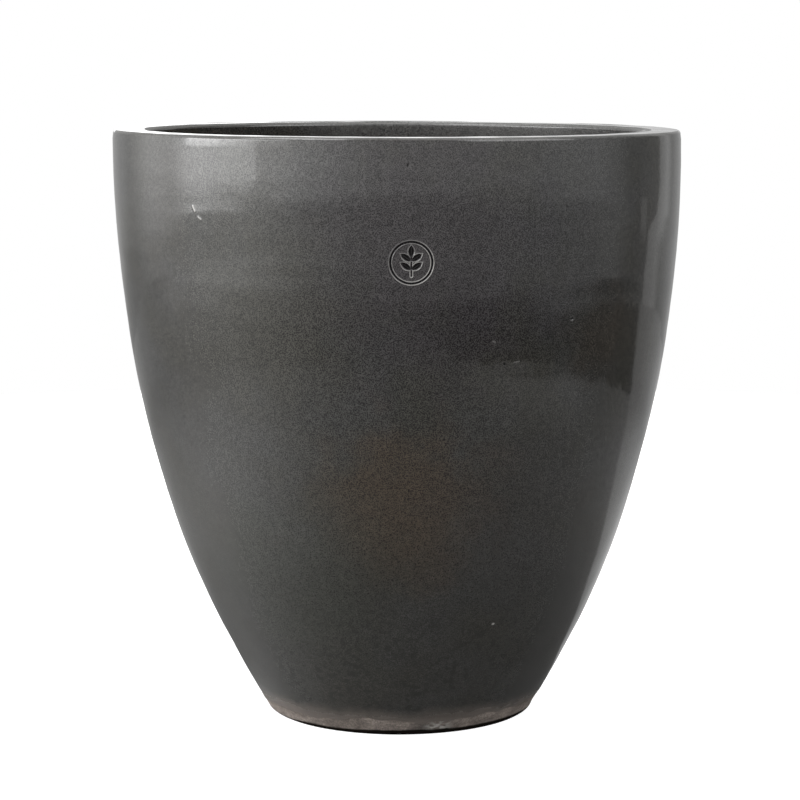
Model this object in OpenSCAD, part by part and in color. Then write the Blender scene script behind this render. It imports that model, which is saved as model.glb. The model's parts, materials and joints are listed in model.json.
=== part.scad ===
// Glazed terracotta pot: a tall, open planter of fired clay with a fused coat of dark glaze.
// Lengths are millimetres and angles are degrees. The origin is the centre of the foot on the
// ground, +Z is up, and the potter's mark is on the -Y side.

/* [Outside] */
// Diameter over the glazed rim
rim_d = 500; // [440:5:560]
// Height from the ground to the top of the glazed rim
pot_h = 520; // [460:5:580]
// Diameter of the flat ring that the pot stands on
foot_d = 230; // [200:2:250]
// Lean of the wall at the foot, from vertical
foot_lean = 31; // [26:0.5:36]
// How far up the lean of the foot carries, as a share of the height
foot_pull = 0.52; // [0.3:0.01:0.56]
// How far down the upright rim carries, as a share of the height
rim_pull = 0.08; // [0.02:0.01:0.3]

/* [Clay] */
// Width of the flat clay rim
rim_t = 27.6; // [24:0.2:34]
// Thickness of the wall below the thickened rim
wall_t = 22; // [16:0.5:24]
// Depth over which the rim thins down to the wall
lip_depth = 130; // [60:5:200]
// Thickness of the floor
floor_t = 28; // [20:1:36]
// Radius of the edge between the foot and the wall
foot_round = 5; // [2:0.5:8]
// Radius of both edges of the rim
rim_round = 2; // [1.5:0.5:5]
// Height of the cove between the floor and the wall inside
cove_h = 40; // [24:2:60]
// Width of the ring that the pot stands on
foot_ring_w = 26; // [16:1:40]
// Height of the shallow hollow inside that ring
hollow_h = 4; // [2:0.5:8]
// Diameter of the drain hole through the floor
drain_d = 30; // [20:1:40]

/* [Glaze] */
// Thickness of the glaze
glaze_t = 1.2; // [0.8:0.1:2]
// Height of the bare clay band above the ground
bare_h = 15; // [12:1:60]
// Depth of the glazed collar inside the rim
collar_h = 110; // [40:5:180]

/* [Mark] */
// Diameter of the round potter's mark
mark_d = 35; // [24:1:44]
// Height of the mark's centre above the ground
mark_h = 421; // [380:1:430]
// Turn of the mark about the pot's axis, from the -Y side
mark_turn = 2; // [-180:1:180]
// Depth of the mark's grooves
mark_depth = 0.7; // [0.4:0.1:0.7]
// Width of the mark's grooves
groove_w = 1.6; // [1:0.1:2.4]

/* [Hidden] */
$fn = 96;

wall_steps = 36;   // straight segments along the wall
arc_steps = 6;     // straight segments in each rounded edge and in the cove
search_steps = 24; // halvings used to find a height on the wall
proud = 5;         // how far a cutting shape stands clear of the face it cuts

clay_r = rim_d / 2 - glaze_t;
clay_h = pot_h - glaze_t;
foot_r = foot_d / 2;
rim_base_z = clay_h - rim_round;
hollow_r = foot_r - foot_ring_w;
floor_z = hollow_h + floor_t;

// The outside of the clay is one cubic curve from the rounded foot to the rounded rim, as
// [radius, height] points. It leaves the foot along the foot's lean and meets the rim upright.
foot_end = [foot_r, foot_round] + foot_round * [cos(foot_lean), -sin(foot_lean)];
wall_curve = [
    foot_end,
    foot_end + foot_pull * pot_h * [sin(foot_lean), cos(foot_lean)],
    [clay_r, rim_base_z - rim_pull * pot_h],
    [clay_r, rim_base_z]
];

function mix(a, b, t) = a + (b - a) * t;
function ease(t) = let (s = min(max(t, 0), 1)) s * s * (3 - 2 * s);
function ray(angle) = [cos(angle), sin(angle)];

function on_curve(t) =
    pow(1 - t, 3) * wall_curve[0] + 3 * pow(1 - t, 2) * t * wall_curve[1]
    + 3 * (1 - t) * t * t * wall_curve[2] + pow(t, 3) * wall_curve[3];
function along_curve(t) =
    pow(1 - t, 2) * (wall_curve[1] - wall_curve[0])
    + 2 * (1 - t) * t * (wall_curve[2] - wall_curve[1]) + t * t * (wall_curve[3] - wall_curve[2]);
function outward(t) = let (d = along_curve(t)) [d[1], -d[0]] / norm(d);

// The place on the curve, from 0 to 1, where the wall reaches the height z.
function place_of(z, low = 0, high = 1, left = search_steps) =
    let (middle = (low + high) / 2)
    left == 0 ? middle
    : on_curve(middle)[1] < z ? place_of(z, middle, high, left - 1)
    : place_of(z, low, middle, left - 1);

function thickness(t) = mix(wall_t, rim_t, ease(1 - (rim_base_z - on_curve(t)[1]) / lip_depth));
function inner(t) = on_curve(t) - thickness(t) * outward(t);
function places(from, to, steps) = [for (i = [0 : steps]) mix(from, to, i / steps)];

bare_place = place_of(bare_h);
collar_place = place_of(clay_h - collar_h);
cove_place = place_of(floor_z + cove_h);

// A skin is a list of [point, outward direction] pairs. The glaze covers this stretch of clay.
function edge_skin(centre, from) =
    [for (a = places(from, from + 90, arc_steps)) [centre + rim_round * ray(a), ray(a)]];
outer_skin = [for (t = places(bare_place, 1, wall_steps)) [on_curve(t), outward(t)]];
rim_skin = concat(
    edge_skin([clay_r - rim_round, rim_base_z], 0),
    edge_skin([clay_r - rim_t + rim_round, rim_base_z], 90)
);
collar_skin = [for (t = places(1, collar_place, arc_steps)) [inner(t), -outward(t)]];
glazed_skin = concat(outer_skin, rim_skin, collar_skin);

function skin_points(skin, lift = 0) = [for (s = skin) s[0] + lift * s[1]];
function backwards(list) = [for (i = [len(list) - 1 : -1 : 0]) list[i]];
// A closed band of the given thickness on a skin.
function band(skin, low, high) =
    concat(skin_points(skin, high), backwards(skin_points(skin, low)));

bare_foot = concat(
    [for (a = places(-90, -foot_lean, arc_steps)) [foot_r, foot_round] + foot_round * ray(a)],
    [for (t = places(0, bare_place, arc_steps)) on_curve(t)]
);
inner_wall = [for (t = places(collar_place, cove_place, wall_steps)) inner(t)];

// The cove runs on from the wall's last direction and turns level at the floor.
cove_top = inner_wall[wall_steps];
cove_dir = cove_top - inner_wall[wall_steps - 1];
cove_corner = cove_top + cove_dir * (floor_z - cove_top[1]) / cove_dir[1];
cove_foot = cove_corner - [norm(cove_corner - cove_top), 0];
cove = [for (t = places(0, 1, 2 * arc_steps))
    mix(mix(cove_top, cove_corner, t), mix(cove_corner, cove_foot, t), t)];

clay_outline = concat(
    [[0, hollow_h], [hollow_r, hollow_h], [hollow_r + hollow_h, 0]],
    bare_foot,
    skin_points(glazed_skin),
    inner_wall,
    cove,
    [[0, floor_z]]
);

// A pointed leaf from the origin along +X, where two circles overlap.
module leaf(length, width) {
    bend = (length * length + width * width) / (4 * width);
    translate([length / 2, 0])
        intersection() {
            translate([0, bend - width / 2]) circle(r = bend);
            translate([0, width / 2 - bend]) circle(r = bend);
        }
}

// The outline of the potter's mark: a ring round a sprig with a leaf at its tip and pairs below.
module mark_outline() {
    leaf_l = 0.3 * mark_d;
    leaf_w = 0.42 * leaf_l;
    stem_l = 0.34 * mark_d;
    difference() {
        circle(d = mark_d);
        circle(d = mark_d - 2 * groove_w);
    }
    translate([-groove_w / 2, -stem_l])
        square([groove_w, 1.4 * stem_l]);
    translate([0, 0.1 * mark_d]) rotate(90) leaf(leaf_l, leaf_w);
    for (level = [-0.16, 0.04], side = [-1, 1])
        translate([0, level * mark_d])
            rotate(90 + side * 55)
                leaf(leaf_l, leaf_w);
}

// The grooves of the mark: its outline run through the wall, kept only in the glaze's surface.
module mark_grooves() {
    marked = [for (t = places(place_of(mark_h - mark_d), place_of(mark_h + mark_d), arc_steps))
        [on_curve(t), outward(t)]];
    intersection() {
        rotate([0, 0, mark_turn])
            translate([0, 0, mark_h])
                rotate([90, 0, 0])
                    linear_extrude(rim_d / 2 + proud) mark_outline();
        rotate_extrude()
            polygon(band(marked, glaze_t - mark_depth, glaze_t + proud));
    }
}

// The fired clay: wall, rim, floor and foot, with the drain hole through the floor.
module clay_body() {
    color([0.41, 0.37, 0.35])
        difference() {
            rotate_extrude() polygon(clay_outline);
            translate([0, 0, hollow_h - proud])
                cylinder(h = floor_t + 2 * proud, d = drain_d);
        }
}

// The glaze, from above the bare foot, over the rim and down the collar inside.
module glaze_coat() {
    color([0.25, 0.25, 0.24])
        difference() {
            rotate_extrude() polygon(band(glazed_skin, 0, glaze_t));
            mark_grooves();
        }
}

clay_body();
glaze_coat();
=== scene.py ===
"""Looks of the glazed terracotta pot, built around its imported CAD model.

Two pieces stand for the two CAD nodes: the fired clay and the glaze on it. Each is a closed
surface that is laid out flat as a grid of places, refined where small marks sit, and then wrapped
round the pot's axis. Lengths are metres and angles are radians. Angle 0 is the side that faces
the camera, -Y, and angles grow towards +X.
"""

import json
import math

import bmesh
import bpy
import numpy as np
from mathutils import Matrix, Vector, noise
from numpy.polynomial import Polynomial


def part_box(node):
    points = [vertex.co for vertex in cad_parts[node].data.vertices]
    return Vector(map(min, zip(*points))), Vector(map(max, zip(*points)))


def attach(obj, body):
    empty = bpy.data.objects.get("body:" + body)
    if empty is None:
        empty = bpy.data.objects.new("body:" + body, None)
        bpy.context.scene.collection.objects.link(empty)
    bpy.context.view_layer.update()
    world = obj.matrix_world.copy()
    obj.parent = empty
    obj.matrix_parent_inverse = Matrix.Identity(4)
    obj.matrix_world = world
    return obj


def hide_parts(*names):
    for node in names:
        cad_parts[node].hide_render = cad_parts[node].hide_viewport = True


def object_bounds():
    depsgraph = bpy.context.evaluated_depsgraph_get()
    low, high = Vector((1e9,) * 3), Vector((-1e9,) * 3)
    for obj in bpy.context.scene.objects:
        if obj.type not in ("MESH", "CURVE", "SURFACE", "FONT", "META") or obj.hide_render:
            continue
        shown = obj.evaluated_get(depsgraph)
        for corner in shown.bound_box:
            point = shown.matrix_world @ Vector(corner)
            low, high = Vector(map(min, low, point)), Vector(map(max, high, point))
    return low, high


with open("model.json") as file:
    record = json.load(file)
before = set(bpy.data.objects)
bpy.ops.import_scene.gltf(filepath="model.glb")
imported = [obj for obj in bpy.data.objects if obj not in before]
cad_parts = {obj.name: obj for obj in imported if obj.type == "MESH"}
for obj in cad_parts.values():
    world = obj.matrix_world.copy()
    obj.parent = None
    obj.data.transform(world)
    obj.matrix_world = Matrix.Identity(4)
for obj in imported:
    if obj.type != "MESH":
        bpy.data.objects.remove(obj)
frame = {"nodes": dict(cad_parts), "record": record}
cad_bounds = [list(corner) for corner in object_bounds()]

MM = 0.001


# ------------------------------------------------------------------ sizes read from the frame
WALL_SHARE = 0.6                   # how far a wall's normal must point along the radius
LEVEL_SHARE = 0.99                 # how far a level face's normal must point up or down


def rings(node, wanted):
    """Radius and height of the node's rings of vertices, taken from its plain back half.

    wanted(radial, upward) says from a face's normal whether its corners count.
    """
    mesh = frame["nodes"][node].data
    found = {}
    for face in mesh.polygons:
        across = math.hypot(face.center.x, face.center.y)
        if face.center.y < 0 or across < MM:
            continue
        radial = (face.center.x * face.normal.x + face.center.y * face.normal.y) / across
        if not wanted(radial, face.normal.z):
            continue
        for index in face.vertices:
            corner = mesh.vertices[index].co
            radius = math.hypot(corner.x, corner.y)
            found[round(corner.z, 5), round(radius, 4)] = (radius, corner.z)
    return np.array(sorted(found.values(), key=lambda pair: pair[1])).T


def smooth_curve(radii, heights, degree):
    """The radius as one smooth function of height."""
    return Polynomial.fit(heights, radii, degree)


mounts = {mount["name"]: mount for mount in frame["record"]["mounts"]}
drain_r = mounts["drain_hole"]["dims"]["r_mm"] * MM
floor_t = mounts["drain_hole"]["dims"]["length_mm"] * MM
hollow_z = mounts["drain_hole"]["pos_m"][2] - floor_t / 2
floor_z = hollow_z + floor_t

pot_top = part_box("glaze_coat")[1].z
clay_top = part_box("clay_body")[1].z
glaze_t = pot_top - clay_top
bare_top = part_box("glaze_coat")[0].z

foot_radii = rings("clay_body", lambda radial, upward: upward < -LEVEL_SHARE)
on_ground = foot_radii[1] < 0.5 * hollow_z
ring_inner = foot_radii[0][on_ground].min()
ring_outer = foot_radii[0][on_ground].max()
hollow_r = foot_radii[0][~on_ground].max()

outer_rings = rings("clay_body", lambda radial, upward: radial > WALL_SHARE)
outer_rings = outer_rings[:, outer_rings[0] > ring_outer]
# The walls are read between the rounded edges of the foot, the rim and the cove.
foot_edge_z = 6 * MM
rim_edge_z = clay_top - 4 * MM
cove_h = 40 * MM
straight = (outer_rings[1] > foot_edge_z) & (outer_rings[1] < rim_edge_z)
outer_radius = smooth_curve(*outer_rings[:, straight], degree=8)

inner_rings = rings("clay_body", lambda radial, upward: radial < -WALL_SHARE)
straight = (inner_rings[1] > floor_z + cove_h) & (inner_rings[1] < rim_edge_z)
inner_radius = smooth_curve(*inner_rings[:, straight], degree=9)
# The coat's hidden face against the outside of the clay points inwards too, so what lies near
# the outside of the wall is left out.
near_outside = 10 * MM
inward_rings = rings("glaze_coat", lambda radial, upward: radial < -WALL_SHARE)
on_inner_wall = inward_rings[0] < outer_radius(inward_rings[1]) - near_outside
collar_z = inward_rings[1][on_inner_wall].min()

rim_r = float(outer_radius(rim_edge_z))
rim_inner_r = float(inner_radius(rim_edge_z))

# ------------------------------------------------------------------ sizes of the hand-made detail
MARK_TURN = math.radians(2.6)      # the potter's mark, right of the middle
MARK_Z = 0.81 * pot_top            # height of its centre
MARK_R = 17.5 * MM                 # outer radius of its ring
GROOVE = 1.7 * MM                  # width of its grooves
MARK_DEPTH = 0.9 * MM              # depth of its grooves

MARK_CUTS = 15                     # cuts through each cell of the glaze's grid at the mark
SCAR_CUTS = 7                      # and at the small marks
MARK_MARGIN = 3 * MM               # how far beyond them the cuts reach
SCAR_MARGIN = 4.5 * MM

RIM_OUTER_ROUND = 1.9 * MM         # clay edges of the rim, under the glaze
RIM_INNER_ROUND = 1.8 * MM
FOOT_ROUND = 5.0 * MM
TUCK = 0.6 * MM                    # from a rounded edge to the next row, so that it shades crisply
DRAWN_BACK = 3.4 * MM              # how far down the wall the glaze has drawn back from the rim
DRAIN_ROUND = 2.2 * MM

rim_base = clay_top - RIM_OUTER_ROUND
lip_base = clay_top - RIM_INNER_ROUND
fine_top = 2.4 * bare_top          # the clay's rows are close together from the foot to here

LEAN = -2.6 * MM                   # how far the rim stands off the foot's axis, along +X
OPENING_SHIFT = -2.5 * MM          # how far the opening sits off the rim's middle, along +X
OVAL = 0.5 * MM                    # how far the rim is from a true circle
OVAL_TURN = 0.6                    # turns the oval about the axis
RIM_TILT = 0.5 * MM                # how far the rim stands high on one side and low on the other
TILT_TURN = 2.6                    # the angle at which it crosses from low to high
FULLNESS = 0.7 * MM                # how far the wall above the foot stands proud of the CAD's
BELLY = 0.35 * MM                  # slow swell and waist left by the potter's hands
LIP_BULGE = 0.35 * MM              # how far the inside wall leans in just below the rim
HIP = 1.3 * MM                     # a swell low on the wall
HIP_Z = 0.3 * pot_top              # its height, and its reach up and down
HIP_REACH = 0.08 * pot_top
BELLY_Z = 0.275                    # height of a crest of the slow swell, and its pitch
BELLY_PITCH = 0.23
RING_PITCH = 15 * MM               # between the finger rings inside
RING_DEPTH = 0.55 * MM

OUTWARD = 0.3                      # radial share of a direction that counts as facing outwards


# ------------------------------------------------------------------ cross-sections
# A stretch of cross-section is an array whose last axis is radius, height, and the direction
# that faces away from the clay there. Rows follow the section and columns go round the pot.
def wall(heights, radius_of, facing):
    """A turned wall. facing is 1 for the outside and -1 for the inside."""
    slope = radius_of.deriv()(heights)
    length = np.hypot(1, slope)
    return np.stack([radius_of(heights), heights, facing / length, -facing * slope / length], -1)


def edge(radius, height, size, start, stop, steps):
    """A rounded edge about a centre, swept from one direction to another, in degrees."""
    turn = np.radians(np.linspace(start, stop, steps))
    across, up = np.cos(turn), np.sin(turn)
    return np.stack([radius + size * across, height + size * up, across, up], -1)


def level(start, stop, height, facing, steps):
    """A flat stretch between two radii. Its first and last rows sit close by its two ends."""
    tuck = math.copysign(TUCK, stop - start)
    radii = np.linspace(start + tuck, stop - tuck, steps)
    zero = np.zeros(steps)
    return np.stack([radii, zero + height, zero, zero + facing], -1)


def cove(steps):
    """The curve from the inside wall to the floor: it keeps the wall's lean and ends level."""
    top = np.array([inner_radius(floor_z + cove_h), floor_z + cove_h])
    slope = inner_radius.deriv()(floor_z + cove_h)
    corner = top - np.array([slope, 1]) * cove_h
    foot = corner - np.array([np.linalg.norm(top - corner), 0])
    t = np.linspace(0, 1, steps)[:, None]
    points = (1 - t) ** 2 * top + 2 * (1 - t) * t * corner + t * t * foot
    along = (1 - t) * (corner - top) + t * (foot - corner)
    along /= np.linalg.norm(along, axis=1, keepdims=True)
    return np.stack([points[:, 0], points[:, 1], along[:, 1], -along[:, 0]], -1)


def spread(start, stop, spacing):
    """Evenly spaced values from start to stop, about spacing apart, without the ends."""
    steps = max(2, round(abs(stop - start) / spacing))
    return np.linspace(start, stop, steps + 1)[1:-1]


def clay_section():
    """The whole loop of the clay, from the foot's edge up, over the rim, and back below."""
    lean = math.degrees(math.atan(outer_radius.deriv()(foot_edge_z)))
    foot_row, wall_row, inside_row = 1.2 * MM, 10 * MM, 3.5 * MM
    outside = wall(np.concatenate([
        spread(foot_edge_z, fine_top, foot_row),
        spread(fine_top, rim_base, wall_row),
    ]), outer_radius, 1)
    inside = wall(spread(lip_base, floor_z + cove_h, inside_row), inner_radius, -1)
    bowl = cove(14)
    hole = drain_r + DRAIN_ROUND
    turned_inwards = np.array([1, 1, -1, -1])
    return np.concatenate([
        edge(ring_outer, FOOT_ROUND, FOOT_ROUND, -90, -lean, 7),
        outside,
        edge(rim_r - RIM_OUTER_ROUND, rim_base, RIM_OUTER_ROUND, 0, 90, 5),
        level(rim_r - RIM_OUTER_ROUND, rim_inner_r + RIM_INNER_ROUND, clay_top, 1, 5),
        edge(rim_inner_r + RIM_INNER_ROUND, lip_base, RIM_INNER_ROUND, 90, 180, 6),
        inside,
        bowl,
        level(bowl[-1, 0], hole, floor_z, 1, 26),
        edge(hole, floor_z - DRAIN_ROUND, DRAIN_ROUND, 90, 180, 6),
        edge(hole, hollow_z + DRAIN_ROUND, DRAIN_ROUND, 180, 270, 6),
        level(hole, hollow_r - hollow_z, hollow_z, -1, 18),
        edge(hollow_r - hollow_z, 0.0, hollow_z, 90, 20, 5) * turned_inwards,
        level(ring_inner, ring_outer, 0.0, -1, 6),
    ])


def fade(values, start, stop):
    """0 before start and 1 after stop, with a smooth turn between."""
    t = np.clip((values - start) / (stop - start), 0, 1)
    return t * t * (3 - 2 * t)


# ------------------------------------------------------------------ relief
def noise_at(points, size, seed):
    """Smooth noise, about -0.5 to 0.5, whose features are about size across."""
    scaled = points / size + seed
    flat = scaled.reshape(-1, 3).tolist()
    return np.array([noise.noise(point) for point in flat]).reshape(points.shape[:-1])


def wrapped(radius, height, angle):
    """Points at a radius, a height and an angle round the pot's axis."""
    return np.stack([radius * np.sin(angle), -radius * np.cos(angle), height], -1)


# Each line of noise in a relief is its depth, then its size and its seed.
def hand_relief(points):
    """What the potter's hands left in the wall: slow waves and faint throwing bands."""
    height = points[..., 2]
    bands = points * np.array([0.12, 0.12, 1.0])
    hip = HIP * np.exp(-((height - HIP_Z) / HIP_REACH) ** 2)
    return (
        hip + FULLNESS * (1.4 * fade(height, 0.11 * pot_top, 0.18 * pot_top) - 0.4)
        + BELLY * np.cos((height - BELLY_Z) * 2 * math.pi / BELLY_PITCH)
        + 0.8 * MM * noise_at(points, 0.17, 3.0)
        + 0.30 * MM * noise_at(points, 0.06, 11.0)
        + 0.14 * MM * noise_at(bands, 0.013, 23.0)
    )


def lip_relief(height):
    """The inside wall's lean towards the axis just below the rim."""
    return LIP_BULGE * fade(height, clay_top - 45 * MM, clay_top)


def foot_relief(points):
    """Dents and drag marks in the clay of the foot, fading out upwards."""
    height = points[..., 2]
    drags = points * np.array([0.35, 0.35, 1.6])
    share = fade(-height, -2.8 * bare_top, -1.3 * bare_top) * fade(height, 0, FOOT_ROUND)
    dents = 0.4 * MM * noise_at(drags, 0.012, 53.0) + 0.8 * MM * noise_at(points, 0.035, 59.0)
    return share * dents


def outside_relief(points):
    return hand_relief(points) + foot_relief(points)


def glaze_relief(points):
    """What the glaze adds: long vertical runs and small swellings."""
    runs = points * np.array([1.0, 1.0, 0.12])
    return 0.11 * MM * noise_at(runs, 0.022, 31.0) + 0.07 * MM * noise_at(points, 0.018, 37.0)


def throwing_rings(points):
    """Finger rings inside the bare pot, with a slight spiral."""
    angle = np.arctan2(points[..., 0], -points[..., 1])
    reach = np.hypot(points[..., 0], points[..., 1]) + points[..., 2]
    phase = 2 * math.pi * reach / RING_PITCH + angle + 2.0 * noise_at(points, 0.11, 43.0)
    depth = RING_DEPTH + 0.5 * MM * noise_at(points, 0.09, 47.0)
    return depth * (np.abs(np.sin(phase / 2)) - 0.5)


def shared_relief(points, height, out_r, out_z):
    """The clay's relief, which the glaze on it follows."""
    radius = np.hypot(points[..., 0], points[..., 1])
    bare = fade(-out_r + out_z, 0.3, 0.8) * fade(-height, -collar_z, 20 * MM - collar_z)
    bare = bare * fade(radius, drain_r + 2 * DRAIN_ROUND, drain_r + 10 * DRAIN_ROUND)
    outside = outside_relief(points) * fade(out_r, 0.1, 0.5)
    return outside + throwing_rings(points) * bare + lip_relief(height) * fade(-out_r, 0.1, 0.5)


def segment(across, up, start, stop):
    """Distance from a straight line between two points."""
    start, stop = np.array(start), np.array(stop)
    line = stop - start
    t = ((across - start[0]) * line[0] + (up - start[1]) * line[1]) / (line @ line)
    t = np.clip(t, 0, 1)
    return np.hypot(across - start[0] - t * line[0], up - start[1] - t * line[1])


def leaf(across, up, base, turn, length, width):
    """How far inside a pointed leaf's outline a place is. It is below zero outside."""
    along_x, along_y = math.cos(turn), math.sin(turn)
    along = (across - base[0]) * along_x + (up - base[1]) * along_y
    aside = np.abs((up - base[1]) * along_x - (across - base[0]) * along_y)
    half = np.clip(1 - (2 * along / length - 1) ** 2, 0, 1) * width / 2
    beyond = np.maximum(np.maximum(-along, along - length), 0)
    vein = aside + 0.35 * MM
    return np.where(beyond > 0, -np.hypot(aside, beyond), np.minimum(half - aside, vein))


def mark_relief(across, up):
    """The potter's mark: a ring round a sprig of leaves, pressed into the glaze.

    Gives the relief, and the tone that the glaze takes: -1 where it pools in the grooves, with
    painted shade there, and up to 1 over the raised lips, where it breaks thin and a painted
    highlight is laid, stronger on the lower right side.
    """
    from_centre = np.hypot(across, up)
    inside = GROOVE / 2 - np.abs(from_centre - (MARK_R - GROOVE / 2))
    stem = segment(across, up, (0, -0.62 * MARK_R), (0, 0.25 * MARK_R))
    inside = np.maximum(inside, 0.4 * GROOVE - stem)
    size, girth = 0.6 * MARK_R, 0.27 * MARK_R
    inside = np.maximum(inside, leaf(across, up, (0, 0.2 * MARK_R), math.pi / 2, size, girth))
    for base in (-0.34, 0.06):
        for side in (-1, 1):
            turn = math.pi / 2 + side * math.radians(55)
            inside = np.maximum(inside, leaf(across, up, (0, base * MARK_R), turn, size, girth))
    groove = fade(inside, -0.05 * MM, 0.7 * MM)
    lip = np.exp(-((inside + 0.45 * MM) / (0.36 * MM)) ** 2)
    pressed = 0.2 * MM * (1 - fade(from_centre, 0.5 * MARK_R, 1.25 * MARK_R))
    # Painted highlight: the lips are paler on their lower right side, as if lit from the upper
    # left.
    lit_lip_side = 0.62 + 0.3 * np.clip((across - up) / (1.4 * MARK_R), -1, 1)
    relief = 0.26 * MM * lip - pressed - MARK_DEPTH * groove
    # The tone's dark part is pooled glaze with painted shade in the grooves; its pale part is the
    # thin glaze break with a painted highlight on the lips.
    return relief, lit_lip_side * lip - fade(inside, 0.25 * MM, 0.7 * MM)


# Small marks in the glaze as (angle in degrees, height, length, width, turn in degrees, depth).
# A depth below zero stands proud.
SCARS = (
    (-41.3, 0.4605, 6.6 * MM, 1.9 * MM, -62, -0.36 * MM),
    (-39.9, 0.4530, 5.2 * MM, 1.5 * MM, -32, -0.20 * MM),
    (1.4, 0.3850, 6.5 * MM, 1.4 * MM, -38, 0.22 * MM),
    (2.0, 0.4985, 3.2 * MM, 2.0 * MM, 80, 0.22 * MM),
    (36.0, 0.3715, 3.8 * MM, 2.8 * MM, 20, 0.60 * MM),
    (18.8, 0.3560, 3.4 * MM, 1.2 * MM, -15, -0.10 * MM),
    (21.2, 0.3370, 3.8 * MM, 3.0 * MM, -50, 0.55 * MM),
    (23.8, 0.3385, 6.0 * MM, 1.3 * MM, 8, -0.10 * MM),
    (27.0, 0.1080, 2.6 * MM, 1.8 * MM, 0, -0.45 * MM),
)
DEEP = 0.3 * MM                    # a small mark this deep, or this proud, has its full tone
SOFT = 0.5 * MM                    # how far a small mark's edge fades beyond its outline


def scar_relief(angle, height):
    """The small marks in the glaze, as relief and tone."""
    relief = np.zeros(angle.shape)
    tone = np.zeros(angle.shape)
    for turn_about, centre_z, length, width, tilt, depth in SCARS:
        reach = outer_radius(centre_z)
        across = (angle - math.radians(turn_about)) * reach
        up = height - centre_z
        lay = math.radians(tilt)
        half = (length - width) / 2
        ends = [(side * half * math.cos(lay), side * half * math.sin(lay)) for side in (-1, 1)]
        away = segment(across, up, *ends) if half > 0 else np.hypot(across, up)
        share = 1 - fade(away, 0, width / 2 + SOFT)
        relief -= depth * share
        # The tone paints proud marks pale, partly as a painted highlight where they catch the
        # light, and sunken ones dark, partly as painted shade.
        tone -= max(-1, min(1, depth / DEEP)) * share
    return relief, tone


# ------------------------------------------------------------------ surfaces
def settle(radius, height, angle):
    """Puts a place of the true pot where the hand-made one has it: leaning and slightly oval."""
    share = height / pot_top
    radius = radius + OVAL * np.cos(2 * angle + OVAL_TURN) * share * radius / rim_r
    height = height + RIM_TILT * np.sin(angle - TILT_TURN) * share ** 6
    points = wrapped(radius, height, angle)
    inward = fade(outer_radius(height) - radius, 4 * MM, 16 * MM)
    points[..., 0] += LEAN * share + OPENING_SHIFT * inward * fade(height, 0.6 * pot_top, pot_top)
    return points


def flat_grid(columns, rows, windows=()):
    """A flat grid of places, one unit a cell, with finer cells inside the windows.

    A window is (cuts, lowest column, highest column, lowest row, highest row).
    """
    sheet = bmesh.new()
    corners = [[sheet.verts.new((c, r, 0)) for c in range(columns + 1)] for r in range(rows + 1)]
    chosen = {}
    for r in range(rows):
        for c in range(columns):
            face = sheet.faces.new((corners[r][c], corners[r][c + 1],
                                    corners[r + 1][c + 1], corners[r + 1][c]))
            for cuts, c_low, c_high, r_low, r_high in windows:
                if c_low <= c < c_high and r_low <= r < r_high:
                    chosen.setdefault(cuts, set()).update(face.edges)
    for cuts, edges in chosen.items():
        bmesh.ops.subdivide_edges(sheet, edges=list(edges), cuts=cuts, use_grid_fill=True)
    return sheet


def wrap(name, sheet, shape, columns, rows):
    """Wraps a flat grid round the pot.

    shape(column, row) gives points and tones for arrays of places. A tone is kept on its vertex
    for the material.
    """
    places = np.array([vertex.co for vertex in sheet.verts])
    points, tones = shape(places[:, 0] % columns, places[:, 1] % rows)
    layer = sheet.verts.layers.float.new("tone")
    for vertex, point, tone in zip(sheet.verts, points, tones):
        vertex.co = point
        vertex[layer] = tone
    bmesh.ops.remove_doubles(sheet, verts=sheet.verts, dist=0.001 * MM)
    bmesh.ops.recalc_face_normals(sheet, faces=sheet.faces)
    mesh = bpy.data.meshes.new(name)
    sheet.to_mesh(mesh)
    sheet.free()
    for face in mesh.polygons:
        face.use_smooth = True
    piece = bpy.data.objects.new(name, mesh)
    bpy.context.scene.collection.objects.link(piece)
    return piece


def along(section, row):
    """The section's values at places between its rows. The last row runs on to the first."""
    count = len(section)
    low = np.floor(row).astype(int)
    part = (row - low)[:, None]
    return section[low % count] * (1 - part) + section[(low + 1) % count] * part


def build_clay():
    section = clay_section()
    columns, rows = 300, len(section)

    def shape(column, row):
        angle = 2 * math.pi * column / columns - math.pi
        radius, height, out_r, out_z = along(section, row).T
        points = wrapped(radius, height, angle)
        below = fade(-out_z, 0.7, 0.95) * fade(height, 0.4 * hollow_z, 0.9 * hollow_z)
        relief = shared_relief(points, height, out_r, out_z)
        relief += 0.6 * MM * noise_at(points, 0.02, 59.0) * below
        return settle(radius + out_r * relief, height + out_z * relief, angle), np.zeros(len(angle))

    return wrap("clay_pot", flat_grid(columns, rows), shape, columns, rows)


def glaze_edge(angle):
    """Height of the glaze's wavy lower edge."""
    round_pot = wrapped(np.full(angle.shape, 0.12), np.zeros(angle.shape), angle)
    swing = 2 * MM * np.sin(angle)
    wave = 5 * MM * noise_at(round_pot, 0.055, 61.0) + 2.6 * MM * noise_at(round_pot, 0.011, 67.0)
    return np.clip(bare_top + swing + wave, 0.76 * bare_top, 2 * bare_top)


def collar_edge(angle):
    """Height of the glaze's lower edge inside, where runs of glaze hang down."""
    round_pot = wrapped(np.full(angle.shape, 0.22), np.zeros(angle.shape), angle)
    runs = np.clip(noise_at(round_pot, 0.05, 71.0), 0, 1) ** 2
    return collar_z + 5 * MM * noise_at(round_pot, 0.09, 73.0) - 45 * MM * runs


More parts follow.
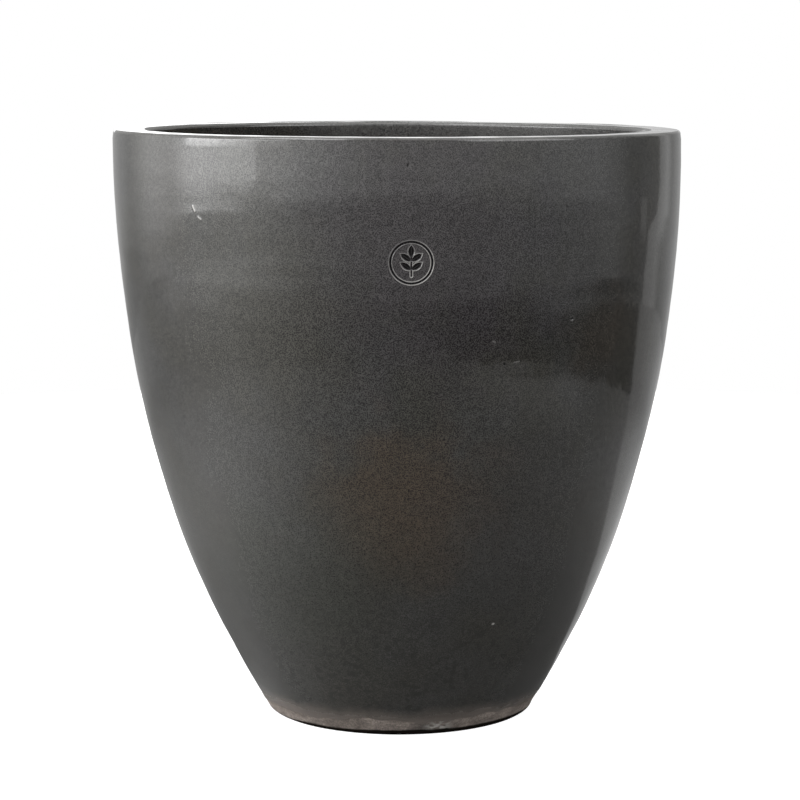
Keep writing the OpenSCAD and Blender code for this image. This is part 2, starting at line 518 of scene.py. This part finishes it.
def glaze_section():
    """The loop of the glaze: its skin from the foot up, over the rim and down the collar, and its
    face against the clay. Also gives the heights of the outside rows, and the skin's row count.
    """
    close_top = 3 * bare_top
    close_rows = np.linspace(bare_top + TUCK / 3, close_top, 17)
    cell = 4.6 * MM
    wall_rows = np.linspace(close_top, rim_base, round((rim_base - close_top) / cell))
    outside = np.concatenate([
        [bare_top],
        close_rows[:-1],
        wall_rows[:-1],
        [rim_base - TUCK],
    ])
    inside = np.concatenate([[lip_base - TUCK], np.linspace(lip_base, collar_z, 26)[1:]])
    skin = np.concatenate([
        wall(outside, outer_radius, 1),
        edge(rim_r - RIM_OUTER_ROUND, rim_base, RIM_OUTER_ROUND, 0, 90, 7),
        level(rim_r - RIM_OUTER_ROUND, rim_inner_r + RIM_INNER_ROUND, clay_top, 1, 9),
        edge(rim_inner_r + RIM_INNER_ROUND, lip_base, RIM_INNER_ROUND, 90, 180, 8),
        wall(inside, inner_radius, -1),
    ])
    under_step = 6
    under = skin[::-1][::under_step]
    return np.concatenate([skin, under]), outside, len(skin)


def slide_ends(radius, height, out_r, angle):
    """Slides the rows near the glaze's two ends up or down the wall with its wavy edges."""
    outer = (out_r > OUTWARD) & (height < 6 * bare_top)
    slide = (glaze_edge(angle) - bare_top) * (1 - fade(height, bare_top, 5 * bare_top))
    height = np.where(outer, height + slide, height)
    radius = np.where(outer, outer_radius(height), radius)
    hanging = (out_r < -OUTWARD) & (height < lip_base)
    slide = (collar_edge(angle) - collar_z) * (1 - fade(height, collar_z, collar_z + 0.06))
    height = np.where(hanging, height + slide, height)
    radius = np.where(hanging, inner_radius(height), radius)
    return radius, height, hanging


def glaze_film(points, height, angle, facing_out, hanging, on_edge):
    """Thickness of the glaze, without its marks: thin over the rim's edges and at both ends."""
    from_foot = np.where(facing_out, height - glaze_edge(angle), 1.0)
    from_collar = np.where(hanging, height - collar_edge(angle), 1.0)
    film = glaze_t * (0.2 + 0.8 * fade(from_foot, 0, 26 * MM))
    film = film * (0.55 + 0.45 * fade(from_collar, 0, 6 * MM))
    drawn = np.maximum(fade(height, rim_base - DRAWN_BACK, rim_base) * facing_out, on_edge)
    return film * (1 - 0.4 * drawn) + glaze_relief(points) * fade(from_foot, 0, 40 * MM)


def build_glaze():
    section, outside, skin_rows = glaze_section()
    columns, rows = 330, len(section)
    thinnest = 0.2 * MM

    def window(cuts, turn, height, half):
        """The cells within half of a place on the outside, to be cut finer."""
        column = (turn + math.pi) / (2 * math.pi) * columns
        reach = half / (2 * math.pi * outer_radius(height) / columns)
        hits = np.nonzero(np.abs(outside - height) < half)[0]
        low, high = math.floor(column - reach), math.ceil(column + reach)
        return (cuts, low, high, hits[0] - 1, hits[-1] + 1)

    windows = [window(MARK_CUTS, MARK_TURN, MARK_Z, MARK_R + MARK_MARGIN)]
    for turn_about, centre_z, length, *_ in SCARS:
        half = length / 2 + SCAR_MARGIN
        windows.append(window(SCAR_CUTS, math.radians(turn_about), centre_z, half))

    def shape(column, row):
        angle = 2 * math.pi * column / columns - math.pi
        radius, height, out_r, out_z = along(section, row).T
        facing_out = out_r > OUTWARD
        on_edge = np.abs(out_r * out_z) * 2
        radius, height, hanging = slide_ends(radius, height, out_r, angle)
        points = wrapped(radius, height, angle)
        relief = shared_relief(points, height, out_r, out_z)
        film = glaze_film(points, height, angle, facing_out, hanging, on_edge)
        mark, mark_tone = mark_relief((angle - MARK_TURN) * radius, height - MARK_Z)
        scars, scar_tone = scar_relief(angle, height)
        film = np.maximum(film + np.where(facing_out, mark + scars, 0.0), thinnest)
        # The tone carries painted highlights and painted shade at the mark and the scars, and the
        # glaze's pale break over the rim's edges.
        tone = np.where(facing_out, mark_tone + scar_tone, 0.0) + 0.3 * on_edge
        # Rows from the skin's last one on are the glaze's face against the clay.
        film = film * np.clip(np.maximum(skin_rows - row, row - rows + 1), 0, 1)
        relief = relief + film
        return settle(radius + out_r * relief, height + out_z * relief, angle), tone

    return wrap("glaze_skin", flat_grid(columns, rows, windows), shape, columns, rows)


# ------------------------------------------------------------------ shader building
def new_tree(name):
    material = bpy.data.materials.new(name)
    material.use_nodes = True
    material.node_tree.nodes.clear()
    return material, material.node_tree


def add(tree, kind, inputs=None, **settings):
    """Adds a node. inputs maps an input's name or number to a value or to another node's output."""
    made = tree.nodes.new(kind)
    for key, value in settings.items():
        setattr(made, key, value)
    for key, value in (inputs or {}).items():
        socket = made.inputs[key]
        if isinstance(value, bpy.types.NodeSocket):
            tree.links.new(value, socket)
        else:
            socket.default_value = value
    return made


def maths(tree, operation, first, second=0.0):
    return add(tree, "ShaderNodeMath", {0: first, 1: second}, operation=operation).outputs[0]


def product(tree, first, *others):
    for other in others:
        first = maths(tree, "MULTIPLY", first, other)
    return first


def total(tree, first, *others):
    for other in others:
        first = maths(tree, "ADD", first, other)
    return first


def mixed(tree, share, first, second, blend="MIX"):
    """Two colours mixed by share."""
    node = add(tree, "ShaderNodeMix", {0: share}, data_type="RGBA", blend_type=blend)
    for socket, value in ((node.inputs[6], first), (node.inputs[7], second)):
        if isinstance(value, bpy.types.NodeSocket):
            tree.links.new(value, socket)
        else:
            socket.default_value = value
    return node.outputs[2]


def in_range(tree, value, low, high, to_low=0.0, to_high=1.0):
    """value from low..high to to_low..to_high, held at both ends."""
    return add(tree, "ShaderNodeMapRange", {"Value": value, "From Min": low, "From Max": high,
               "To Min": to_low, "To Max": to_high}, interpolation_type="SMOOTHSTEP").outputs[0]


def grain(tree, where, size, detail, stretch=(1, 1, 1)):
    """Noise, about 0.25 to 0.75, with features about size across."""
    scaled = add(tree, "ShaderNodeMapping", {"Vector": where, "Scale": stretch}).outputs[0]
    return add(tree, "ShaderNodeTexNoise",
               {"Vector": scaled, "Scale": 1 / size, "Detail": detail}).outputs["Fac"]


def colour(red, green, blue):
    return (red, green, blue, 1.0)


WHITE = colour(1.0, 1.0, 1.0)


def blotch(tree, where, turn, height, size, ragged):
    """1 at a place on the wall, fading to 0 at size away, with a ragged edge."""
    angle = math.radians(turn)
    radius = float(outer_radius(height))
    centre = (radius * math.sin(angle), -radius * math.cos(angle), height)
    away = add(tree, "ShaderNodeVectorMath", {0: where, 1: centre}, operation="DISTANCE")
    shifted = maths(tree, "ADD", away.outputs["Value"],
                    maths(tree, "MULTIPLY", maths(tree, "SUBTRACT", ragged, 0.5), 1.4 * size))
    return in_range(tree, shifted, 0.25 * size, 1.2 * size, 1.0, 0.0)


def tinted_clouds(tree, where, base, ragged, clouds):
    """base with soft clouds of other colours: (turn, height, size, share, colour) each."""
    for turn, height, size, share, tint in clouds:
        amount = maths(tree, "MULTIPLY", blotch(tree, where, turn, height, size, ragged), share)
        base = mixed(tree, amount, base, tint)
    return base


def from_axis(tree, where):
    """Distance from the pot's axis."""
    flat = add(tree, "ShaderNodeVectorMath", {0: where, 1: (1.0, 1.0, 0.0)}, operation="MULTIPLY")
    length = add(tree, "ShaderNodeVectorMath", {0: flat.outputs[0]}, operation="LENGTH")
    return length.outputs["Value"]


def times(tree, base, factor):
    """A colour multiplied by a factor."""
    return mixed(tree, 1.0, base, factor, "MULTIPLY")


# ------------------------------------------------------------------ glaze
# In the materials, sizes and heights are metres, and in_range turns a grain into a share or a
# factor. Soft clouds of colour in the glaze, as (turn in degrees, height, size, share, colour).
GLAZE_CLOUDS = (
    (5, 0.43, 0.13, 0.75, colour(0.0187, 0.0167, 0.0180)),
    (-30, 0.38, 0.10, 0.6, colour(0.0197, 0.0187, 0.0146)),
    (36, 0.44, 0.09, 0.5, colour(0.0173, 0.0170, 0.0180)),
    (2, 0.215, 0.085, 0.85, colour(0.0240, 0.0170, 0.0105)),
    (44, 0.352, 0.045, 0.6, colour(0.0190, 0.0153, 0.0112)),
    (-28, 0.14, 0.10, 0.7, colour(0.0153, 0.0163, 0.0129)),
    (30, 0.20, 0.09, 0.4, colour(0.0167, 0.0153, 0.0153)),
    (150, 0.33, 0.13, 0.7, colour(0.0240, 0.0170, 0.0112)),
    (-120, 0.24, 0.12, 0.6, colour(0.0163, 0.0170, 0.0136)),
    (100, 0.16, 0.10, 0.6, colour(0.0215, 0.0165, 0.0122)),
)
MOTTLE_DARK = colour(0.006, 0.006, 0.005)
THIN_BROWN = colour(0.100, 0.083, 0.072)
COLLAR_GREY = colour(0.031, 0.031, 0.030)
# Pale break with painted highlight, and pooled black with painted shade, for the mark's lips and
# grooves and the scars.
PALE_BREAK_AND_HIGHLIGHT = colour(0.200, 0.196, 0.186)
POOLED_BLACK_AND_SHADE = colour(0.002, 0.002, 0.002)


def glaze_ground(tree, where, ragged):
    """Nearly black glass over dark clay, with its tinted clouds."""
    patches = grain(tree, where, 0.075, 4.0)
    base = mixed(tree, in_range(tree, patches, 0.35, 0.65),
                 colour(0.0160, 0.0153, 0.0126), colour(0.0184, 0.0182, 0.0170))
    return tinted_clouds(tree, where, base, ragged, GLAZE_CLOUDS)


def pepper(tree, where, fine, coarse):
    """Faint vertical runs and a salt-and-pepper grain, as a factor on the colour."""
    runs = grain(tree, where, 0.012, 3.0, (1, 1, 0.07))
    return product(tree, in_range(tree, runs, 0.3, 0.7, 0.90, 1.00),
                   in_range(tree, fine, 0.25, 0.75, 0.26, 1.74),
                   in_range(tree, coarse, 0.3, 0.7, 0.88, 1.12))


def mottling(tree, where, height):
    """Where the film is mottled dark, low on the wall."""
    return product(tree, in_range(tree, grain(tree, where, 0.005, 4.0), 0.49, 0.60),
                   in_range(tree, grain(tree, where, 0.03, 2.0), 0.36, 0.56),
                   in_range(tree, height, 0.03, 0.20, 0.85, 0.0))


def thinning(tree, height, ragged):
    """Where the film is so thin, just above the foot, that the clay's brown shows through."""
    wander = maths(tree, "MULTIPLY", maths(tree, "SUBTRACT", ragged, 0.5), 0.016)
    return in_range(tree, maths(tree, "ADD", height, wander), 0.012, 0.030, 0.9, 0.0)


def on_collar(tree, where, height):
    """Where the collar inside the rim is."""
    inward = in_range(tree, from_axis(tree, where),
                      rim_inner_r - 0.3 * MM, rim_inner_r + 1.5 * MM, 1.0, 0.0)
    above = in_range(tree, height, collar_z - 60 * MM, collar_z - 50 * MM)
    return maths(tree, "MULTIPLY", inward, above)


def glaze_material():
    """Dark reactive glaze: paler and less glossy on the collar, and brown where it is thin."""
    material, tree = new_tree("dark_glaze")
    where = add(tree, "ShaderNodeTexCoord").outputs["Object"]
    height = add(tree, "ShaderNodeSeparateXYZ", {0: where}).outputs["Z"]
    tone = add(tree, "ShaderNodeAttribute", attribute_name="tone").outputs["Fac"]
    ragged = grain(tree, where, 0.028, 4.0)
    fine = grain(tree, where, 0.00095, 1.0)
    coarse = grain(tree, where, 0.0042, 2.0)
    peppered = pepper(tree, where, fine, coarse)
    thin = thinning(tree, height, ragged)
    collar = on_collar(tree, where, height)
    # Pale where the glaze breaks over raised edges, dark where it pools; at the mark and the scars
    # these are also painted highlight and painted shade.
    pale_and_highlit = in_range(tree, tone, 0.1, 0.9)
    pooled_and_shaded = in_range(tree, tone, -0.8, -0.1, 1.0, 0.0)

    base = times(tree, glaze_ground(tree, where, ragged), peppered)
    base = mixed(tree, mottling(tree, where, height), base, MOTTLE_DARK)
    base = mixed(tree, thin, base, THIN_BROWN)
    base = mixed(tree, collar, base, times(tree, COLLAR_GREY, peppered))
    base = mixed(tree, pale_and_highlit, base, PALE_BREAK_AND_HIGHLIGHT)
    base = mixed(tree, pooled_and_shaded, base, POOLED_BLACK_AND_SHADE)

    wear = grain(tree, where, 0.05, 3.0)
    rough = total(tree, in_range(tree, wear, 0.3, 0.7, 0.035, 0.065),
                  in_range(tree, fine, 0.45, 0.7, 0.0, 0.02),
                  maths(tree, "MULTIPLY", collar, 0.18),
                  maths(tree, "MULTIPLY", thin, 0.38))
    # In the grooves the painted shade also takes most of the gloss away.
    gloss = product(tree, in_range(tree, fine, 0.25, 0.75, 0.41, 0.59),
                    in_range(tree, coarse, 0.3, 0.7, 0.94, 1.06),
                    in_range(tree, pooled_and_shaded, 0.0, 1.0, 1.0, 0.2))

    swell = add(tree, "ShaderNodeBump", {"Height": coarse, "Strength": 0.5, "Distance": 0.00005})
    peel = add(tree, "ShaderNodeBump", {"Height": fine, "Strength": 0.5, "Distance": 0.000015,
                                        "Normal": swell.outputs[0]})
    shader = add(tree, "ShaderNodeBsdfPrincipled", {"Base Color": base, "Roughness": rough,
                 "IOR": 1.5, "Specular IOR Level": gloss, "Normal": peel.outputs[0]})
    add(tree, "ShaderNodeOutputMaterial", {"Surface": shader.outputs[0]})
    return material


# ------------------------------------------------------------------ clay
GROG_DARK = colour(0.055, 0.048, 0.044)
DIRT = colour(0.045, 0.038, 0.034)
SMEAR = colour(0.040, 0.035, 0.031)
SCRAPE_PALE = colour(0.30, 0.29, 0.27)
# Colour of the painted contact shadow along the foot's edge at the ground.
FOOT_SHADOW_BLACK = colour(0.006, 0.005, 0.004)


def clay_ground(tree, clouds, low):
    """Cloudy fired clay: taupe at the stained foot, and warmer above it inside."""
    share = in_range(tree, clouds, 0.35, 0.65)
    foot = mixed(tree, share, colour(0.098, 0.082, 0.071), colour(0.186, 0.158, 0.139))
    inside = mixed(tree, share, colour(0.330, 0.170, 0.105), colour(0.420, 0.240, 0.160))
    return mixed(tree, low, inside, foot)


def sanded(tree, where, base, sand, low):
    """Fine sand everywhere, coarser grit at the foot, and dark specks of grog."""
    base = times(tree, base, in_range(tree, sand, 0.3, 0.7, 0.78, 1.22))
    grit = in_range(tree, grain(tree, where, 0.0022, 3.0), 0.36, 0.64, 0.76, 1.22)
    base = mixed(tree, maths(tree, "MULTIPLY", low, 0.9), base, times(tree, base, grit))
    grog = add(tree, "ShaderNodeTexVoronoi", {"Vector": where, "Scale": 330.0})
    specks = in_range(tree, grog.outputs["Distance"], 0.10, 0.22, 1.0, 0.0)
    return mixed(tree, maths(tree, "MULTIPLY", specks, 0.45), base, GROG_DARK)


def stained(tree, where, base, clouds, smudge, low):
    """Dirty smudges, and a dark smear with pale scrapes on the front of the foot."""
    dirty = product(tree, in_range(tree, smudge, 0.54, 0.68),
                    in_range(tree, low, 0.0, 1.0, 0.06, 0.5))
    base = mixed(tree, dirty, base, DIRT)
    scrape = grain(tree, where, 0.003, 4.0, (0.4, 0.4, 1.0))
    smear = product(tree, blotch(tree, where, 10, 0.006, 0.017, smudge),
                    in_range(tree, scrape, 0.35, 0.60, 0.3, 0.8))
    base = mixed(tree, smear, base, SMEAR)
    scuffed = product(tree, blotch(tree, where, 15, 0.009, 0.014, clouds),
                      in_range(tree, scrape, 0.42, 0.58), 0.9)
    return mixed(tree, scuffed, base, SCRAPE_PALE)


def painted_foot_shadow(tree, where, axes, smudge):
    """Painted contact shadow: where the foot's outer edge is blackened, at the ground."""
    top = total(tree, in_range(tree, axes.outputs["X"], -0.10, -0.03, 0.0026, 0.0048),
                maths(tree, "MULTIPLY", maths(tree, "SUBTRACT", smudge, 0.5), 0.004))
    above = maths(tree, "SUBTRACT", axes.outputs["Z"], top)
    outer = in_range(tree, from_axis(tree, where), ring_outer - 6 * MM, ring_outer, 0.1, 1.0)
    return product(tree, in_range(tree, above, -0.0008, 0.0010, 1.0, 0.0), outer)


def clay_material():
    """Bare fired clay: stained and scuffed at the foot, with a painted contact shadow at its edge,
    warmer inside, with grain and grog.
    """
    material, tree = new_tree("fired_clay")
    where = add(tree, "ShaderNodeTexCoord").outputs["Object"]
    axes = add(tree, "ShaderNodeSeparateXYZ", {0: where})
    low = in_range(tree, axes.outputs["Z"], 0.027, 0.031, 1.0, 0.0)
    clouds = grain(tree, where, 0.03, 4.0)
    sand = grain(tree, where, 0.0009, 3.0)
    smudge = grain(tree, where, 0.016, 4.0, (0.5, 0.5, 1.6))
    foot_shadow = painted_foot_shadow(tree, where, axes, smudge)

    base = sanded(tree, where, clay_ground(tree, clouds, low), sand, low)
    base = stained(tree, where, base, clouds, smudge, low)
    # Painted contact shadow: the foot's outer edge is blackened where it meets the ground.
    base = mixed(tree, foot_shadow, base, FOOT_SHADOW_BLACK)

    drag = grain(tree, where, 0.004, 4.0, (0.3, 0.3, 1.4))
    scored = add(tree, "ShaderNodeBump", {"Height": drag, "Strength": 0.6, "Distance": 0.0007})
    sandy = add(tree, "ShaderNodeBump", {"Height": sand, "Strength": 0.6, "Distance": 0.0003,
                                         "Normal": scored.outputs[0]})
    rough = in_range(tree, clouds, 0.3, 0.7, 0.62, 0.82)
    # The painted contact shadow also takes the clay's gloss away there.
    gloss = in_range(tree, foot_shadow, 0.0, 1.0, 0.5, 0.0)
    shader = add(tree, "ShaderNodeBsdfPrincipled", {"Base Color": base, "Roughness": rough,
                 "IOR": 1.45, "Specular IOR Level": gloss, "Normal": sandy.outputs[0]})
    add(tree, "ShaderNodeOutputMaterial", {"Surface": shader.outputs[0]})
    return material


# ------------------------------------------------------------------ stage
# The studio is described by direction: turn is degrees round the pot, 0 towards the camera and
# growing towards +X, and rise is degrees above the horizon.
def turn_of(tree, x, y):
    return maths(tree, "MULTIPLY", maths(tree, "ARCTAN2", x, maths(tree, "MULTIPLY", y, -1.0)),
                 math.degrees(1))


def bell(tree, value, middle, reach, height=1.0):
    """height at the middle, falling off smoothly on both sides."""
    off = maths(tree, "DIVIDE", maths(tree, "SUBTRACT", value, middle), reach)
    fall = maths(tree, "EXPONENT", maths(tree, "MULTIPLY", maths(tree, "MULTIPLY", off, off), -1.0))
    return maths(tree, "MULTIPLY", fall, height)


def between(tree, value, low, high, low_blur, high_blur=None):
    """1 from low to high, with a blur of its own at each end."""
    high_blur = high_blur or low_blur
    rises = in_range(tree, value, low - low_blur, low + low_blur)
    falls = in_range(tree, value, high - high_blur, high + high_blur, 1.0, 0.0)
    return maths(tree, "MULTIPLY", rises, falls)


def floor_glow(tree, where):
    """How bright the floor is in reflections: lit from the left, shaded close to the pot, and
    with a ragged shadow to the right. away is the distance from the pot's axis.
    """
    place = add(tree, "ShaderNodeSeparateXYZ", {0: where})
    x, y = place.outputs["X"], place.outputs["Y"]
    away = add(tree, "ShaderNodeVectorMath", {0: where}, operation="LENGTH").outputs["Value"]
    turn = turn_of(tree, x, y)
    behind = product(tree, between(tree, turn, 115, 174, 1.5, 8),
                     in_range(tree, away, 0.5, 1.2, 0.30, 0.10))
    lit = total(tree, 0.40, bell(tree, turn, -68, 36, 1.15))
    near = in_range(tree, away, 0.12, 0.65, 0.24, 1.0)
    far = product(tree, in_range(tree, away, 1.45, 2.05), between(tree, turn, -105, 80, 15), 0.6)
    distance = total(tree, 1.0, bell(tree, away, 1.2, 0.22, -0.18), far)
    ragged = maths(tree, "SUBTRACT", grain(tree, where, 0.16, 4.0), 0.5)
    edge_at = total(tree, away, maths(tree, "MULTIPLY", ragged, 0.35))
    beyond = maths(tree, "SUBTRACT", edge_at, in_range(tree, turn, 60, 100, 1.45, 2.15))
    shaded = product(tree, in_range(tree, edge_at, 1.075, 1.105),
                     in_range(tree, beyond, -0.25, 0.25, 1.0, 0.0),
                     between(tree, turn, 12, 114, 14, 1.5), 0.62)
    sheen = product(tree, bell(tree, away, 0.95, 0.17), between(tree, turn, 30, 78, 12), 0.30)
    lit = product(tree, lit, near, distance, maths(tree, "SUBTRACT", 1.0, shaded))
    return total(tree, lit, behind, sheen)


FLOOR_R = 2.2                      # radius of the floor
FLOOR_DROP = 0.1 * MM              # how far it lies below the pot, so that the two don't touch
PAPER_GLOW = 0.78                  # light of the paper's own, so that the camera sees it white
SOFTBOX_SIDE = 2.4
SOFTBOX_PLACE = (0.0, 0.2, 2.4)


def floor_material():
    """Pale paper, with a soft shadow under the pot. In reflections it has the studio's glow."""
    material, tree = new_tree("pale_paper")
    glow = floor_glow(tree, add(tree, "ShaderNodeTexCoord").outputs["Object"])
    lit = add(tree, "ShaderNodeEmission", {"Color": glow})
    paper = add(tree, "ShaderNodeBsdfDiffuse", {"Color": colour(0.5, 0.5, 0.5)})
    bright = add(tree, "ShaderNodeEmission", {"Color": WHITE, "Strength": PAPER_GLOW})
    seen_paper = add(tree, "ShaderNodeAddShader", {0: paper.outputs[0], 1: bright.outputs[0]})
    seen = add(tree, "ShaderNodeLightPath").outputs["Is Camera Ray"]
    both = add(tree, "ShaderNodeMixShader", {0: seen, 1: lit.outputs[0], 2: seen_paper.outputs[0]})
    add(tree, "ShaderNodeOutputMaterial", {"Surface": both.outputs[0]})
    return material


def build_floor():
    disc = bmesh.new()
    bmesh.ops.create_circle(disc, cap_ends=True, segments=96, radius=FLOOR_R)
    mesh = bpy.data.meshes.new("floor")
    disc.to_mesh(mesh)
    disc.free()
    floor = bpy.data.objects.new("floor", mesh)
    floor.location.z = cad_bounds[0][2] - FLOOR_DROP
    bpy.context.scene.collection.objects.link(floor)
    mesh.materials.append(floor_material())


def build_lights():
    """One large softbox overhead. The rest of the light comes from the world and the floor."""
    light = bpy.data.lights.new("softbox_above", "AREA")
    light.size = SOFTBOX_SIDE
    light.energy = math.pi * SOFTBOX_SIDE ** 2
    lamp = bpy.data.objects.new("softbox_above", light)
    lamp.location = SOFTBOX_PLACE
    lamp.visible_camera = False
    bpy.context.scene.collection.objects.link(lamp)


# Most panels are a span of turn, times a span of rise, times a brightness.
def room_walls(tree, rise, side, across):
    """The dim room: paler in front, with a soft ceiling and a lit wall at the back."""
    room = product(tree, in_range(tree, side, 92, 112, 0.78, 0.36),
                   in_range(tree, rise, -10, -5.5, 0.80, 1.0))
    overhead = product(tree, in_range(tree, rise, -3, 40, 0.0, 0.5),
                       in_range(tree, side, 110, 170, 1.0, 0.3))
    front = product(tree, between(tree, rise, -5.5, 12, 1.5, 6),
                    in_range(tree, side, 80, 100, 0.40, 0.0))
    back_wall = product(tree, between(tree, side, 165, 200, 6), between(tree, rise, 2, 4.5, 3, 1.5),
                        in_range(tree, across, -0.10, 0.14, 2.8, 0.45))
    return total(tree, room, overhead, front, back_wall)


def left_lights(tree, turn, rise):
    """The glowing left wall, with a hot panel cut on a slant, a lamp over it and a key light."""
    wing = product(tree, bell(tree, turn, -112, 14, 1.05),
                   in_range(tree, rise, -12, -2.5, 0.3, 1.0))
    far_left = product(tree, between(tree, turn, -172, -138, 4, 8),
                       in_range(tree, rise, -8, -4.5), 0.13)
    left = product(tree, bell(tree, turn, -72, 40), in_range(tree, rise, -10, -1, 1.5, 3.8),
                   in_range(tree, rise, 8, 40, 1.0, 0.1))
    past_cut = maths(tree, "MAXIMUM", maths(tree, "ADD", turn, 70.0), 0.0)
    cut = maths(tree, "MULTIPLY", past_cut, 0.19)
    hot = product(tree, between(tree, turn, -95, -57.5, 8, 0.4),
                  between(tree, maths(tree, "SUBTRACT", rise, cut), -6.6, 25, 0.7, 8), 2.0,
                  in_range(tree, rise, -9.0, -4.0, 0.12, 1.0))
    slope = in_range(tree, turn, -85, -44, 0.0, 2.5)
    lamp = product(tree, between(tree, turn, -92, -44, 1.5),
                   between(tree, maths(tree, "SUBTRACT", rise, slope), 5, 16, 3, 1.5),
                   in_range(tree, turn, -82, -46, 7.5, 3.5))
    key = product(tree, between(tree, turn, -75, -25, 6), between(tree, rise, 32, 62, 5), 6.0)
    return total(tree, wing, far_left, left, hot, lamp, key)


def right_lights(tree, turn, rise):
    """A panel high at the front right, and a slanted strip and a dim sheet behind on the right."""
    right = product(tree, between(tree, turn, 30, 76, 5), between(tree, rise, 12, 50, 5), 3.6)
    slant = in_range(tree, rise, -7.0, -4.5, 0.0, 8.5)
    strip = product(tree, between(tree, maths(tree, "SUBTRACT", turn, slant), 121.5, 134, 1.3, 4),
                    0.36)
    rear = product(tree, between(tree, turn, 133, 172, 5), 0.10)
    patch = product(tree, between(tree, turn, 114, 119.5, 0.8),
                    between(tree, rise, -7.2, -4.6, 0.5), 0.2)
    return total(tree, right, strip, rear, patch)


def room_glow(tree, turn, rise, across):
    """The studio in reflections. across is the direction's share along +X."""
    side = maths(tree, "ABSOLUTE", turn)
    return total(tree, room_walls(tree, rise, side, across), left_lights(tree, turn, rise),
                 right_lights(tree, turn, rise))


def build_world():
    """White to the camera, and the studio's glow to everything else."""
    world = bpy.data.worlds.new("studio")
    world.use_nodes = True
    tree = world.node_tree
    tree.nodes.clear()
    toward = add(tree, "ShaderNodeTexCoord").outputs["Generated"]
    axes = add(tree, "ShaderNodeSeparateXYZ", {0: toward})
    rise = maths(tree, "MULTIPLY", maths(tree, "ARCSINE", axes.outputs["Z"]), math.degrees(1))
    turn = turn_of(tree, axes.outputs["X"], axes.outputs["Y"])
    room = room_glow(tree, turn, rise, axes.outputs["X"])
    seen = add(tree, "ShaderNodeLightPath").outputs["Is Camera Ray"]
    shade = mixed(tree, seen, room, WHITE)
    back = add(tree, "ShaderNodeBackground", {"Color": shade, "Strength": 1.0})
    add(tree, "ShaderNodeOutputWorld", {"Surface": back.outputs[0]})
    bpy.context.scene.world = world


# The camera, set to the photo's view of the rim and the foot.
SENSOR_WIDTH = 36                  # in millimetres, as is the lens
LENS = 112.96
CAMERA_SEAT = (0.1 * MM, -2.237, 0.5828)
CAMERA_DIP = math.radians(7.777)   # how far it looks down
FAR_END = 50                       # the furthest distance that it sees


def build_camera():
    camera = bpy.data.cameras.new("camera")
    camera.sensor_width = SENSOR_WIDTH
    camera.lens = LENS
    camera.clip_end = FAR_END
    seat = bpy.data.objects.new("camera", camera)
    seat.location = CAMERA_SEAT
    seat.rotation_euler = (math.pi / 2 - CAMERA_DIP, 0, 0)
    bpy.context.scene.collection.objects.link(seat)
    bpy.context.scene.camera = seat


# ------------------------------------------------------------------ the scene
clay = build_clay()
clay.data.materials.append(clay_material())
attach(clay, "root")
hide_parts("clay_body")

glaze = build_glaze()
glaze.data.materials.append(glaze_material())
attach(glaze, "root")
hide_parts("glaze_coat")

build_floor()
build_lights()
build_world()
build_camera()
bpy.context.scene.view_settings.view_transform = "Standard"
